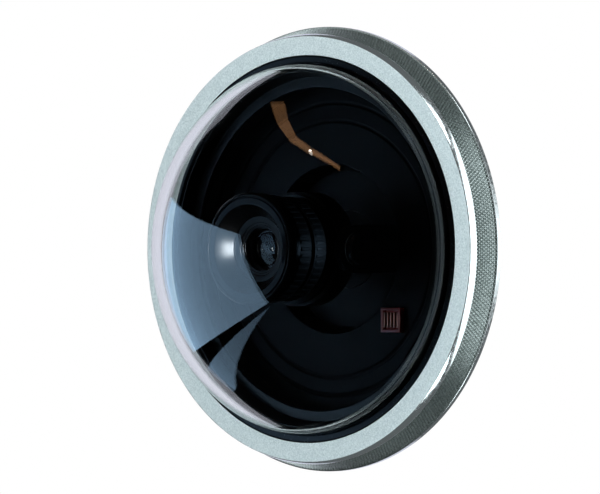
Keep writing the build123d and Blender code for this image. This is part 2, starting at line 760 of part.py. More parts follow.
# --- Lens barrel and the glass in it -----------------------------------------------------
shoulder_r = barrel_r + 2.0
shoulder_top = zoom_low - gap
barrel_low = filter_pocket_h + 0.7
collar_low = zoom_low + zoom_len + gap
collar_high = focus_low - gap
focus_top = focus_low + focus_len
bezel_back = focus_top + gap
bezel_h = bezel_back + bezel_len
throat_h = bezel_back - 0.6
barrel_bore_r = 9.0
barrel_top = throat_h - 2.2
seat_r = 6.6  # inside step that the glass rests on
nose_r = throat_r + 1.2  # of the barrel, inside the bezel
glass_seat_r = seat_r + 1.0
glass_seat_d = 3.0
stop_bore_r = seat_r - 0.6
stop_bore_len = 2.0
bore_cone_len = 1.0
front_glass_low = barrel_top - glass_seat_d

with BuildPart() as lens_barrel:
    spin(
        (barrel_bore_r, barrel_low),
        (mount_thread_r - pin_gap, barrel_low),
        (mount_thread_r - pin_gap, holder_top),
        (shoulder_r, holder_top),
        (shoulder_r, shoulder_top),
        (barrel_r, shoulder_top),
        (barrel_r, collar_low),
        (collar_r, collar_low),
        (collar_r, collar_high),
        (barrel_r, collar_high),
        (barrel_r, bezel_back),
        (nose_r, bezel_back),
        (nose_r, barrel_top),
        (glass_seat_r, barrel_top),
        (glass_seat_r, front_glass_low),
        (stop_bore_r, front_glass_low),
        (stop_bore_r, front_glass_low - stop_bore_len),
        (barrel_bore_r, front_glass_low - stop_bore_len - bore_cone_len),
    )
write(lens_barrel, "lens_barrel")


rib_count = 40
rib_groove_r = 0.55
rib_groove_out = 0.25
rib_margin = 1.0  # plain edge left at each end of the ribs
lock_screw_r = 1.2
lock_head_r = 2.0
lock_head_t = 2.6
lock_stand = 0.8  # of the screw's head off the ring


def side_plane(height):
    """The plane through the axis at a height, whose offset goes towards -X."""
    return Plane(origin=(0, -height, 0), x_dir=(0, 0, 1), z_dir=(-1, 0, 0))


def ribbed_ring(low, length, radius):
    """A grip ring that turns on the barrel, with a ribbed rim and a hole for its screw."""
    tube(low, low + length, radius, barrel_r + gap)
    with BuildSketch(FRONT.offset(low + rib_margin)) as ribs:
        with PolarLocations(radius + rib_groove_out, rib_count):
            Circle(rib_groove_r)
    extrude(ribs.sketch, amount=length - 2 * rib_margin, mode=Mode.SUBTRACT)
    with BuildSketch(side_plane(low + length / 2).offset(barrel_r)) as hole:
        Circle(lock_screw_r)
    extrude(hole.sketch, amount=radius, mode=Mode.SUBTRACT)


def lock_screw(height, radius):
    """A thumb screw that stands out of a grip ring towards -X."""
    plane = side_plane(height)
    with BuildSketch(plane.offset(barrel_r + gap)) as shank:
        Circle(lock_screw_r)
    extrude(shank.sketch, amount=radius + lock_stand - barrel_r - gap)
    with BuildSketch(plane.offset(radius + lock_stand)) as head:
        Circle(lock_head_r)
    extrude(head.sketch, amount=lock_head_t)


with BuildPart() as zoom_ring:
    ribbed_ring(zoom_low, zoom_len, zoom_r)
write(zoom_ring, "zoom_ring")

with BuildPart() as zoom_lock_screw:
    lock_screw(zoom_low + zoom_len / 2, zoom_r)
write(zoom_lock_screw, "zoom_lock_screw")

with BuildPart() as focus_ring:
    ribbed_ring(focus_low, focus_len, focus_r)
write(focus_ring, "focus_ring")

with BuildPart() as focus_lock_screw:
    lock_screw(focus_low + focus_len / 2, focus_r)
write(focus_lock_screw, "focus_lock_screw")

# The front bezel: a flat rim, then a funnel down to the flat that surrounds the glass.
bezel_edge = 0.6
throat_dip = 1.0
with BuildPart() as front_bezel:
    spin(
        (nose_r, bezel_back),
        (bezel_r, bezel_back),
        (bezel_r, bezel_h - bezel_edge),
        (bezel_r - bezel_edge, bezel_h),
        (funnel_r, bezel_h),
        (throat_r, throat_h),
        (glass_ring_r, throat_h - throat_dip),
        (glass_ring_r, barrel_top),
        (nose_r, barrel_top),
    )
write(front_bezel, "front_bezel")


def bulge_radius(radius, bulge):
    """Radius of the sphere whose cap has the given height on a disc."""
    return (radius**2 + bulge**2) / (2 * bulge)


def lens(low, rim, radius, land, front_bulge, back_bulge):
    """A round glass with a straight rim, a flat land inside it and two bulging faces."""
    high, clear_r = low + rim, radius - land
    with BuildSketch(PROFILE) as section:
        with BuildLine():
            Line((0, low - back_bulge), (0, high + front_bulge))
            RadiusArc((0, high + front_bulge), (clear_r, high), bulge_radius(clear_r, front_bulge))
            Polyline((clear_r, high), (radius, high), (radius, low), (clear_r, low))
            RadiusArc((clear_r, low), (0, low - back_bulge), bulge_radius(clear_r, back_bulge))
        make_face()
    revolve(section.sketch, axis=CENTRE_LINE)


front_rim_t = 1.4
front_land = 1.6
front_bulge = 1.2
front_back_bulge = 0.4
with BuildPart() as front_lens:
    lens(
        front_glass_low,
        front_rim_t,
        glass_seat_r - glass_gap,
        front_land,
        front_bulge,
        front_back_bulge,
    )
write(front_lens, "front_lens")

lens_ring_t = 1.0
with BuildPart() as lens_lock_ring:
    lens_ring_low = front_glass_low + front_rim_t
    tube(lens_ring_low, lens_ring_low + lens_ring_t, glass_seat_r, glass_r)
write(lens_lock_ring, "lens_lock_ring")

iris_h = tilt_h + 12.0
iris_t = 0.8
iris_r = 2.5
with BuildPart() as iris_plate:
    tube(iris_h, iris_h + iris_t, barrel_bore_r, iris_r)
write(iris_plate, "iris_plate")

inner_rim_t = 1.6
inner_land = 0.6
inner_glass_r = barrel_bore_r - glass_gap
middle_bulge = 1.2
with BuildPart() as middle_lens:
    lens(tilt_h + 7.0, inner_rim_t, inner_glass_r, inner_land, middle_bulge, middle_bulge)
write(middle_lens, "middle_lens")

rear_bulge = 0.9
with BuildPart() as rear_lens:
    lens(tilt_h + 0.5, inner_rim_t, inner_glass_r, inner_land, rear_bulge, rear_bulge)
write(rear_lens, "rear_lens")

print("nodes", len([name for name in os.listdir("parts") if name.endswith(".step")]))
print("overall diameter", 2 * ring_r, "height in front of the wall", round(cap_h + cap_r, 2))
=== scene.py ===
# %% [markdown]
# # A dome camera with a knurled ring
#
# The camera hangs on a wall and looks out along -Y, with +Z up. A clear dome covers a small
# lens head, a silver ring screws down over the dome's foot, and the can behind goes into
# the wall. The frame holds every part at its real size, so this file only adds what the eye
# wants: a cut knurl, thick clear plastic, moulded black parts, glass and light.

# %% Load the frame and keep its box
import bpy
import json
import math
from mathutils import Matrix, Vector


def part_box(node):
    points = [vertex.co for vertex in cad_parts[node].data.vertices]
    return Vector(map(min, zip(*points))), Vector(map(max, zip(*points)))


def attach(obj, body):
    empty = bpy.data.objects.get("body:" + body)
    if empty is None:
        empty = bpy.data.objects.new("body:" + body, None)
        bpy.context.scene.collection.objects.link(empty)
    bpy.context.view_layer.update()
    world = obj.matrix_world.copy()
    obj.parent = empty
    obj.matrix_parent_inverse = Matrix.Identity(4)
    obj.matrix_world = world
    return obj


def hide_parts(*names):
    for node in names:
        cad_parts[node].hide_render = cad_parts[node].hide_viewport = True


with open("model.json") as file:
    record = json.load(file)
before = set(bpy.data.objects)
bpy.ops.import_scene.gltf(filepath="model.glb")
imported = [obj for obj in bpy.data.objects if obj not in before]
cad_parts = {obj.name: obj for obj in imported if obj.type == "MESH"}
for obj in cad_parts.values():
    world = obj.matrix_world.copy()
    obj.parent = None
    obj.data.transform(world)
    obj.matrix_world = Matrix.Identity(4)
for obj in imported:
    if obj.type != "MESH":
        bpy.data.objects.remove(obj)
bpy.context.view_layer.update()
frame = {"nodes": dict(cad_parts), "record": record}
MM = 0.001

# %% [markdown]
# Everything on this camera is round about one axis, so two numbers place almost any point:
# its radius, and its height above the wall along -Y. These helpers read both from a node.

# %% Sizes read from the frame
def radius_of(node):
    """Half the width of a round node."""
    low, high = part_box(node)
    return (high[0] - low[0]) / 2


def span_of(node):
    """(lowest, highest) height of a node above the wall."""
    low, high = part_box(node)
    return -high[1], -low[1]


ring_r = radius_of("trim_ring")
ring_back, face_h = span_of("trim_ring")
dome_flange_r = radius_of("dome")
dome_seat, dome_top = span_of("dome")
bezel_r = radius_of("front_bezel")
bezel_back, bezel_h = span_of("front_bezel")
print("ring", ring_r, "face", face_h, "dome top", dome_top, "bezel", bezel_r, bezel_h)

# %% [markdown]
# ## Camera
#
# A long lens from two metres away keeps the circles close to true ellipses. It stands level
# with the dome and to its right, so that the dome points left and the ring's side shows.

# %% Camera
VIEW_TURN = math.radians(40.8)  # round to the right, from straight in front
CAMERA_FAR = 2.4
SENSOR_MM = 36.0
LENS_MM = 428.112
AIM_RIGHT, AIM_UP = -1.85 * MM, 0.7 * MM  # from the middle of the ring's face

right_way = (math.cos(VIEW_TURN), math.sin(VIEW_TURN))
aim = (AIM_RIGHT * right_way[0], -face_h + AIM_RIGHT * right_way[1], AIM_UP)
camera_place = (
    aim[0] + CAMERA_FAR * math.sin(VIEW_TURN),
    aim[1] - CAMERA_FAR * math.cos(VIEW_TURN),
    aim[2],
)
bpy.ops.object.select_all(action="DESELECT")
bpy.ops.object.camera_add(location=camera_place, rotation=(math.radians(90), 0, VIEW_TURN))
camera = bpy.context.object
camera.data.sensor_width = SENSOR_MM
camera.data.lens = LENS_MM
camera.data.clip_start = 0.05
bpy.context.scene.camera = camera
print("focal length", round(camera.data.lens, 1))

# %% [markdown]
# ## Turning round parts
#
# A turned part is drawn as half of its section and spun about the axis. One vertex is left
# of a small plane, it is extruded from point to point round the outline, and Spin turns the
# outline once round. Doubles are merged before the normals are made to point outwards.

# %% Spin an outline
def finish_mesh(piece, angle=35):
    """Merge doubles, turn the faces outwards and shade them smooth below an angle."""
    bpy.ops.object.mode_set(mode="EDIT")
    bpy.ops.mesh.select_all(action="SELECT")
    bpy.ops.mesh.remove_doubles(threshold=0.002 * MM)
    bpy.ops.mesh.normals_make_consistent(inside=False)
    bpy.ops.object.mode_set(mode="OBJECT")
    bpy.ops.object.shade_smooth_by_angle(angle=math.radians(angle))
    return piece


def lathe(name, outline, steps=192, angle=35):
    """Spin a closed outline of (radius, height) points once about the camera's axis."""
    bpy.ops.object.select_all(action="DESELECT")
    bpy.ops.mesh.primitive_plane_add(size=MM)
    piece = bpy.context.object
    piece.name = name
    bpy.ops.object.mode_set(mode="EDIT")
    bpy.ops.mesh.select_mode(type="VERT")
    bpy.ops.mesh.select_all(action="SELECT")
    bpy.ops.mesh.merge(type="CENTER")
    bpy.ops.transform.translate(value=(outline[0][0], -outline[0][1], 0))
    for (r0, h0), (r1, h1) in zip(outline, outline[1:] + outline[:1]):
        bpy.ops.mesh.extrude_region_move(TRANSFORM_OT_translate={"value": (r1 - r0, h0 - h1, 0)})
    bpy.ops.mesh.select_all(action="SELECT")
    bpy.ops.mesh.spin(steps=steps, angle=2 * math.pi, center=(0, 0, 0), axis=(0, 1, 0))
    finish_mesh(piece, angle)
    assert piece.data.polygons, name + " came out empty"
    return piece


def arc(centre, radius, start, end, count):
    """Points of an arc in (radius, height), with angles in degrees from the radius axis."""
    angles = [math.radians(start + (end - start) * i / count) for i in range(count + 1)]
    return [(centre[0] + radius * math.cos(a), centre[1] + radius * math.sin(a)) for a in angles]


def round_edges(piece, width, segments=3, angle=30):
    """Round the sharp edges of a piece with a bevel that is applied."""
    bevel = piece.modifiers.new("edges", "BEVEL")
    bevel.width = width
    bevel.segments = segments
    bevel.limit_method = "ANGLE"
    bevel.angle_limit = math.radians(angle)
    bpy.ops.object.select_all(action="DESELECT")
    piece.select_set(True)
    bpy.context.view_layer.objects.active = piece
    bpy.ops.object.modifier_apply(modifier=bevel.name)
    bpy.ops.object.shade_smooth_by_angle(angle=math.radians(40))
    return piece


# %% [markdown]
# ## Trim ring
#
# The ring is turned aluminium. Its face is satin, a polished bevel runs round the face, and
# the side widens towards the wall. The bevel and the back lip are kept as crisp edges with a
# very small rounding, because a perfectly sharp edge never catches light.

# %% Trim ring body
FACE_IN = 65.2 * MM
FACE_OUT = 71.8 * MM
BAND_R = 72.5 * MM
BAND_H = face_h - 2.6 * MM
KNURL_END_R = ring_r - 0.3 * MM
KNURL_END_H = 2.2 * MM
KNURL_DEPTH = 0.5 * MM  # from the tips of the knurl to the bottom of its grooves
KNURL_SINK = KNURL_DEPTH - 0.04 * MM
ring_bore = radius_of("housing_can") + 0.5 * MM
lip_under = span_of("dome_gasket")[1] - 1.9 * MM

ring_outline = [
    (FACE_IN, face_h),
    (FACE_OUT - 0.25 * MM, face_h),
    (FACE_OUT, face_h - 0.25 * MM),
    (BAND_R, BAND_H),
    (BAND_R - KNURL_SINK, BAND_H - 0.15 * MM),
    (KNURL_END_R - KNURL_SINK, KNURL_END_H + 0.15 * MM),
    (ring_r, KNURL_END_H),
    (ring_r, ring_back),
    (ring_bore, ring_back),
    (ring_bore, lip_under),
    (FACE_IN, lip_under),
]
trim_ring = round_edges(lathe("ring_body", ring_outline, steps=256), 0.12 * MM, 2)
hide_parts("trim_ring")
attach(trim_ring, "ring_unit")
print("ring faces", len(trim_ring.data.polygons))

# %% [markdown]
# A diamond knurl is rolled into the side. One stud is a four-sided pyramid with its tip cut
# off. Array modifiers repeat it, first down the slope and then round the ring, and a second
# column of studs is set half a step over, as the two crossing sets of grooves leave them.

# %% Diamond knurl
KNURL_COUNT = 370
KNURL_ROWS = 4
slope = math.atan2(KNURL_END_R - BAND_R, BAND_H - KNURL_END_H)
slope_length = math.hypot(KNURL_END_R - BAND_R, BAND_H - KNURL_END_H)
step_down = slope_length / (KNURL_ROWS + 0.5)
step_round = 2 * math.pi * (BAND_R + KNURL_END_R) / 2 / KNURL_COUNT


def apply_modifier(piece, kind, **settings):
    """Add a modifier with these settings to a piece and apply it."""
    bpy.ops.object.select_all(action="DESELECT")
    piece.select_set(True)
    bpy.context.view_layer.objects.active = piece
    modifier = piece.modifiers.new(kind.lower(), kind)
    for name, value in settings.items():
        setattr(modifier, name, value)
    bpy.ops.object.modifier_apply(modifier=modifier.name)
    return piece


def join(name, *parts):
    """Join several meshes into one piece."""
    bpy.ops.object.select_all(action="DESELECT")
    for part in parts:
        part.select_set(True)
    bpy.context.view_layer.objects.active = parts[0]
    bpy.ops.object.join()
    parts[0].name = name
    return parts[0]


def repeat_round(piece, count):
    """Repeat a piece evenly round the camera's axis."""
    bpy.ops.object.select_all(action="DESELECT")
    bpy.ops.object.empty_add(rotation=(0, 2 * math.pi / count, 0))
    turner = bpy.context.object
    settings = {"count": count, "use_relative_offset": False, "use_object_offset": True}
    apply_modifier(piece, "ARRAY", offset_object=turner, **settings)
    bpy.data.objects.remove(turner)
    return piece


def stud_column(name, first_down, rows, half_turn):
    """Studs down the slope, the first this far below the band."""
    along = (math.sin(slope), math.cos(slope))
    deep = KNURL_DEPTH / 2
    middle_r = BAND_R + first_down * along[0] - deep * along[1]
    middle_h = BAND_H - first_down * along[1] - deep * along[0]
    bpy.ops.object.select_all(action="DESELECT")
    bpy.ops.mesh.primitive_cone_add(
        vertices=4, radius1=0.5, radius2=0.2, depth=1.0, end_fill_type="NGON",
        location=(middle_r, -middle_h, 0), rotation=(0, math.pi / 2, -slope),
        scale=(step_round, step_down, KNURL_DEPTH),
    )
    stud = bpy.context.object
    stud.name = name
    bpy.ops.object.transform_apply(location=True, rotation=True, scale=True)
    if half_turn:
        bpy.ops.transform.rotate(
            value=math.pi / KNURL_COUNT, orient_axis="Y", center_override=(0, 0, 0)
        )
        bpy.ops.object.transform_apply(location=True, rotation=True, scale=True)
    offset = (step_down * along[0], step_down * along[1], 0)
    settings = {"use_relative_offset": False, "use_constant_offset": True}
    return apply_modifier(stud, "ARRAY", count=rows, constant_offset_displace=offset, **settings)


knurl = join(
    "ring_knurl",
    stud_column("knurl_even", step_down * 0.5, KNURL_ROWS + 1, False),
    stud_column("knurl_odd", step_down, KNURL_ROWS, True),
)
repeat_round(knurl, KNURL_COUNT)
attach(knurl, "ring_unit")
print("knurl faces", len(knurl.data.polygons), "stud", round(step_round / MM, 2), "mm wide")

# %% [markdown]
# ## Clear dome
#
# The dome is moulded in one piece: a cap that is part of a large sphere, a tighter bend near
# the foot, and a flat flange that the ring presses down. It has a real wall, because the
# bright and dark lines near a dome's foot are light bent by the thickness of the plastic.

# %% Dome
CAP_R = 69.5 * MM
BEND_R = 12.0 * MM
DOME_R = 62.6 * MM
DOME_WALL = 2.8 * MM
FLANGE_T = 2.4 * MM
cap_h = dome_top - CAP_R
bend_in = DOME_R - BEND_R
bend_h = cap_h + math.sqrt((CAP_R - BEND_R) ** 2 - bend_in**2)
bend_end = math.degrees(math.atan2(bend_h - cap_h, bend_in))

dome_outline = (
    [(dome_flange_r, dome_seat), (dome_flange_r, dome_seat + FLANGE_T), (DOME_R, dome_seat + FLANGE_T)]
    + arc((bend_in, bend_h), BEND_R, 0, bend_end, 10)
    + arc((0, cap_h), CAP_R, bend_end, 90, 36)[1:]
    + arc((0, cap_h), CAP_R - DOME_WALL, 90, bend_end, 36)
    + arc((bend_in, bend_h), BEND_R - DOME_WALL, bend_end, 0, 10)[1:]
    + [(DOME_R - DOME_WALL, dome_seat)]
)
dome = lathe("dome_shell", dome_outline, steps=192, angle=30)
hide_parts("dome")
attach(dome, "dome_unit")
print("dome faces", len(dome.data.polygons))

# %% [markdown]
# ## Dome gasket
#
# A soft black rubber ring fills the gap between the dome and the ring's face. Its top edge
# is rounded, so the dark band beside the face has one thin highlight.

# %% Gasket
gasket_low, gasket_high = span_of("dome_gasket")
GASKET_IN = DOME_R + 0.1 * MM
GASKET_OUT = FACE_IN - 0.3 * MM
gasket_shoulder = lip_under - 0.05 * MM  # the ring turns on the rubber without cutting into it
gasket_outline = [
    (GASKET_IN, gasket_low),
    (dome_flange_r, gasket_low),
    (dome_flange_r, gasket_shoulder),
    (GASKET_OUT, gasket_shoulder),
    (GASKET_OUT, gasket_high),
    (GASKET_IN, gasket_high),
]
gasket = round_edges(lathe("dome_seal", gasket_outline), 0.35 * MM, 4)
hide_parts("dome_gasket")
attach(gasket, "dome_unit")

# %% [markdown]
# ## Liner
#
# A thin black liner stands inside the dome and hides the screws and the board. It is a short
# wall round a flat shelf, with a round opening that the lens looks out of.

# %% Liner
liner_low, liner_top = span_of("liner")
LINER_OPEN = 54.0 * MM
LINER_SHELF = 7.0 * MM
SHELF_T = 1.4 * MM
LINER_SKIRT_IN, LINER_SKIRT_OUT = 55.8 * MM, 57.2 * MM
LINER_TOP_IN, LINER_TOP_OUT = 58.7 * MM, 59.4 * MM
LINER_LEAN = 1.1 * MM  # the wall leans out by this much on its way up
liner_outline = [
    (LINER_OPEN, LINER_SHELF - SHELF_T),
    (LINER_SKIRT_IN, LINER_SHELF - SHELF_T),
    (LINER_SKIRT_IN, liner_low),
    (LINER_SKIRT_OUT, liner_low),
    (LINER_SKIRT_OUT, LINER_SHELF - SHELF_T),
    (LINER_TOP_OUT - LINER_LEAN, LINER_SHELF - SHELF_T),
    (LINER_TOP_OUT, liner_top),
    (LINER_TOP_IN, liner_top),
    (LINER_TOP_IN - LINER_LEAN, LINER_SHELF),
    (LINER_OPEN, LINER_SHELF),
]
liner = round_edges(lathe("liner_shell", liner_outline), 0.28 * MM, 3)


def box_piece(name, low, high):
    """A block between two corners, in the row frame."""
    middle = [(a + b) / 2 for a, b in zip(low, high)]
    size = [b - a for a, b in zip(low, high)]
    bpy.ops.object.select_all(action="DESELECT")
    bpy.ops.mesh.primitive_cube_add(size=1, location=middle, scale=size)
    bpy.ops.object.transform_apply(location=True, rotation=True, scale=True)
    bpy.context.object.name = name
    return bpy.context.object


FOOT_T = 2.0 * MM
FOOT_W = 9.0 * MM
FOOT_END_R = 64.4 * MM


def ring_of_feet(name, count, start):
    """Feet that stand out of the liner's skirt, the first at this angle."""
    low = (57.0 * MM, -liner_low - FOOT_T, -FOOT_W / 2)
    foot = box_piece(name, low, (FOOT_END_R, -liner_low, FOOT_W / 2))
    bpy.ops.transform.rotate(value=start, orient_axis="Y", center_override=(0, 0, 0))
    bpy.ops.object.transform_apply(location=True, rotation=True, scale=True)
    return repeat_round(round_edges(foot, 0.5 * MM), count)


liner = join("liner_shell", liner, ring_of_feet("liner_feet", 3, math.radians(90)))
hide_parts("liner")
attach(liner, "housing")

# %% [markdown]
# ## Board cover
#
# The floor of the black bowl is a moulded disc round the turntable. Low rings on it are what
# a mould maker adds to keep a wide thin plate flat.

# %% Board cover
cover_r = radius_of("board_cover")
cover_low, cover_top = span_of("board_cover")
COVER_IN = 28.5 * MM
COVER_T = 1.5 * MM
SKIRT_T = 1.2 * MM
GROOVE = 0.35 * MM
cover_outline = [
    (COVER_IN, cover_low),
    (COVER_IN + SKIRT_T, cover_low),
    (COVER_IN + SKIRT_T, cover_top - COVER_T),
    (cover_r - SKIRT_T, cover_top - COVER_T),
    (cover_r - SKIRT_T, cover_low + 0.4 * MM),
    (cover_r, cover_low + 0.4 * MM),
    (cover_r, cover_top),
]
for rib_r in (50.0 * MM, 44.0 * MM):
    cover_outline += [
        (rib_r, cover_top),
        (rib_r - 0.4 * MM, cover_top - GROOVE),
        (rib_r - 1.0 * MM, cover_top - GROOVE),
        (rib_r - 1.4 * MM, cover_top),
    ]
cover_outline.append((COVER_IN, cover_top))
cover = round_edges(lathe("cover_plate", cover_outline, steps=144), 0.2 * MM, 2)
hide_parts("board_cover")
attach(cover, "housing")

# %% [markdown]
# A small red socket stands in the cover, for the cable of a test screen. It is a block with
# its top inset and pushed down, and plated blades that stand in the hollow.

# %% Service socket
socket_low, socket_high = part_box("service_socket")
SOCKET_RIM = 0.9 * MM
SOCKET_DEEP = 2.0 * MM
BLADE = 0.45 * MM
BLADE_COUNT = 5


def select_faces(piece, test):
    """In edit mode, select only the faces whose centre and normal pass a test."""
    bpy.ops.object.mode_set(mode="EDIT")
    bpy.ops.mesh.select_all(action="DESELECT")
    bpy.ops.object.mode_set(mode="OBJECT")
    for face in piece.data.polygons:
        face.select = test(face.center, face.normal)
    bpy.ops.object.mode_set(mode="EDIT")
    bpy.ops.mesh.select_mode(type="FACE")


socket = box_piece("socket_body", socket_low, socket_high)
select_faces(socket, lambda centre, normal: normal.y < -0.9)
bpy.ops.mesh.inset(thickness=SOCKET_RIM)
bpy.ops.mesh.extrude_region_move(TRANSFORM_OT_translate={"value": (0, SOCKET_DEEP, 0)})
bpy.ops.object.mode_set(mode="OBJECT")
socket = round_edges(socket, 0.18 * MM, 2)
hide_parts("service_socket")
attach(socket, "housing")

blades = []
for step in range(BLADE_COUNT):
    blade_x = socket_low[0] + (step + 1) * (socket_high[0] - socket_low[0]) / (BLADE_COUNT + 1)
    low = (blade_x - BLADE / 2, socket_low[1] + 0.2 * MM, socket_low[2] + 1.6 * MM)
    high = (blade_x + BLADE / 2, socket_low[1] + SOCKET_DEEP + 0.2 * MM, socket_high[2] - 1.6 * MM)
    blades.append(round_edges(box_piece(f"blade_{step}", low, high), 0.08 * MM, 2))
blades = join("socket_blades", *blades)
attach(blades, "housing")
print("socket", [round((b - a) / MM, 1) for a, b in zip(socket_low, socket_high)])

# %% [markdown]
# ## Lens bezel
#
# The front of the lens is a round black bezel. A narrow flat rim runs round it, and inside
# the rim a smooth funnel goes down to the glass, with fine steps that stop stray light.

# %% Bezel
FUNNEL_R = 14.5 * MM
THROAT_R = 10.4 * MM
THROAT_H = 35.4 * MM
GLASS_RING_R = 7.2 * MM
RIM_GROOVE_R = 16.9 * MM  # a narrow groove round the flat rim
GROOVE_W = 0.5 * MM
GROOVE_D = 0.7 * MM
BEZEL_BACK_IN = 11.6 * MM
BEZEL_SIDE_H = 36.0 * MM
SIDE_GROOVE_D = 0.35 * MM
SIDE_GROOVE_TOP = bezel_h - 1.2 * MM
SIDE_GROOVE_LOW = bezel_h - 1.6 * MM
bezel_outline = [
    (GLASS_RING_R, bezel_back),
    (BEZEL_BACK_IN, bezel_back),
    (BEZEL_BACK_IN, BEZEL_SIDE_H),
    (bezel_r, BEZEL_SIDE_H),
    (bezel_r, SIDE_GROOVE_LOW),
    (bezel_r - SIDE_GROOVE_D, SIDE_GROOVE_LOW),
    (bezel_r - SIDE_GROOVE_D, SIDE_GROOVE_TOP),
    (bezel_r, SIDE_GROOVE_TOP),
    (bezel_r, bezel_h - 0.5 * MM),
    (bezel_r - 0.5 * MM, bezel_h),
    (RIM_GROOVE_R + GROOVE_W, bezel_h),
    (RIM_GROOVE_R + GROOVE_W, bezel_h - GROOVE_D),
    (RIM_GROOVE_R, bezel_h - GROOVE_D),
    (RIM_GROOVE_R, bezel_h),
    (FUNNEL_R + 0.3 * MM, bezel_h),
    (FUNNEL_R, bezel_h - 0.3 * MM),
    (THROAT_R + 0.45 * MM, THROAT_H + 0.6 * MM),
    (THROAT_R + 0.45 * MM, THROAT_H),
    (THROAT_R, THROAT_H),
    (GLASS_RING_R + 1.6 * MM, THROAT_H - 0.2 * MM),
    (GLASS_RING_R + 1.6 * MM, THROAT_H - 0.6 * MM),
    (GLASS_RING_R + 0.8 * MM, THROAT_H - 0.6 * MM),
    (GLASS_RING_R + 0.8 * MM, THROAT_H - 1.0 * MM),
    (GLASS_RING_R, THROAT_H - 1.0 * MM),
]
bezel = round_edges(lathe("bezel_funnel", bezel_outline, steps=160), 0.15 * MM, 3, 20)
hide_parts("front_bezel")
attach(bezel, "lens_unit")
print("bezel faces", len(bezel.data.polygons))

# %% [markdown]
# Two grip rings turn on the barrel behind the bezel. Each is a turned ring with moulded ribs
# round its rim, made once and repeated round the axis.

# %% Zoom and focus rings
RIBS = 48
RIB_RISE = 0.35 * MM
GRIP_BORE_R = 14.8 * MM


def grip_ring(name, node, body):
    """A ring with ribs round its rim, in place of a plain ring."""
    outer = radius_of(node)
    low, high = span_of(node)
    root = outer - RIB_RISE
    outline = [(GRIP_BORE_R, low), (root, low), (root, high), (GRIP_BORE_R, high)]
    ring = round_edges(lathe(name, outline, steps=128), 0.2 * MM)
    wide = math.pi * outer / RIBS / 2
    corner_a = (outer - RIB_RISE * 2, -high + 0.8 * MM, -wide)
    corner_b = (outer, -low - 0.8 * MM, wide)
    rib = repeat_round(round_edges(box_piece(name + "_rib", corner_a, corner_b), 0.15 * MM, 2), RIBS)
    ring = join(name, ring, rib)
    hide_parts(node)
    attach(ring, body)
    return ring


zoom_grip = grip_ring("zoom_grip", "zoom_ring", "zoom_unit")
focus_grip = grip_ring("focus_grip", "focus_ring", "focus_unit")

# %% [markdown]
# The front glass is a shallow meniscus with a black ring screwed in front of it. Glass has
# to be smooth above everything, so its curves are arcs with many short steps.

# %% Front glass and its ring
glass_node_r = radius_of("front_lens")
glass_low, glass_high = span_of("front_lens")


def cap_arc(edge_r, edge_h, rise, count):
    """Points of a shallow cap from its edge to the axis."""
    sphere = (edge_r**2 + rise**2) / (2 * rise)
    tilt = math.asin(edge_r / sphere)
    turns = [tilt * (1 - i / count) for i in range(count + 1)]
    return [(sphere * math.sin(t), edge_h + rise - sphere * (1 - math.cos(t))) for t in turns]


GLASS_EDGE = 5.9 * MM
FRONT_RISE = 1.2 * MM
BACK_RISE = 0.4 * MM
front_edge_h = glass_high - FRONT_RISE
back_edge_h = glass_low + BACK_RISE
back_cap = [(r, 2 * back_edge_h - h) for r, h in cap_arc(GLASS_EDGE, back_edge_h, BACK_RISE, 12)]
glass_outline = (
    [(glass_node_r, back_edge_h), (glass_node_r, front_edge_h)]
    + cap_arc(GLASS_EDGE, front_edge_h, FRONT_RISE, 20)
    + back_cap[::-1]
)
glass = lathe("front_glass", glass_outline, steps=128, angle=25)
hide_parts("front_lens")
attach(glass, "lens_unit")

lock_r = radius_of("lens_lock_ring")
lock_low, lock_high = span_of("lens_lock_ring")
LOCK_BORE_R = 6.3 * MM
LOCK_TOP_R = 6.9 * MM
lock_outline = [
    (LOCK_BORE_R, lock_low),
    (lock_r, lock_low),
    (lock_r, lock_high),
    (LOCK_TOP_R, lock_high),
    (LOCK_BORE_R, lock_low + 0.35 * MM),
]
lock_ring = round_edges(lathe("glass_ring", lock_outline, steps=128), 0.08 * MM, 2)
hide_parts("lens_lock_ring")
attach(lock_ring, "lens_unit")
print("glass", round(glass_low / MM, 2), round(glass_high / MM, 2))

# %% [markdown]
# ## Finishes
#
# Each finish is one Principled shader. What stays the same all over is set on the shader
# itself, and only what really varies, such as grain or dust, comes from a texture that reads
# the object's own coordinates in metres.

# %% A finish and its textures
def finish(name, colour, roughness, metallic=0.0, **sockets):
    """A material with one Principled shader, its constants set on the shader."""
    material = bpy.data.materials.new(name)
    material.use_nodes = True
    shader = material.node_tree.nodes["Principled BSDF"]
    shader.inputs["Base Color"].default_value = (*colour, 1)
    shader.inputs["Roughness"].default_value = roughness
    shader.inputs["Metallic"].default_value = metallic
    for socket, value in sockets.items():
        shader.inputs[socket.replace("_", " ")].default_value = value
    return material


def shader_of(material):
    """The material's Principled shader."""
    return material.node_tree.nodes["Principled BSDF"]


def texture(material, kind, scale, **settings):
    """A texture on object coordinates, with the scale in features per metre."""
    tree = material.node_tree
    place = tree.nodes.new("ShaderNodeTexCoord")
    node = tree.nodes.new(kind)
    node.inputs["Scale"].default_value = scale
    for name, value in settings.items():
        node.inputs[name].default_value = value
    tree.links.new(place.outputs["Object"], node.inputs["Vector"])
    return node


def ramp(material, source, low, high, start=0.0, end=1.0):
    """Map a texture's value between two colours or greys."""
    tree = material.node_tree
    node = tree.nodes.new("ShaderNodeValToRGB")
    low = low if isinstance(low, tuple) else (low,) * 3
    high = high if isinstance(high, tuple) else (high,) * 3
    node.color_ramp.elements[0].position = start
    node.color_ramp.elements[1].position = end
    node.color_ramp.elements[0].color = (*low, 1)
    node.color_ramp.elements[1].color = (*high, 1)
    tree.links.new(source, node.inputs["Fac"])
    return node.outputs["Color"]


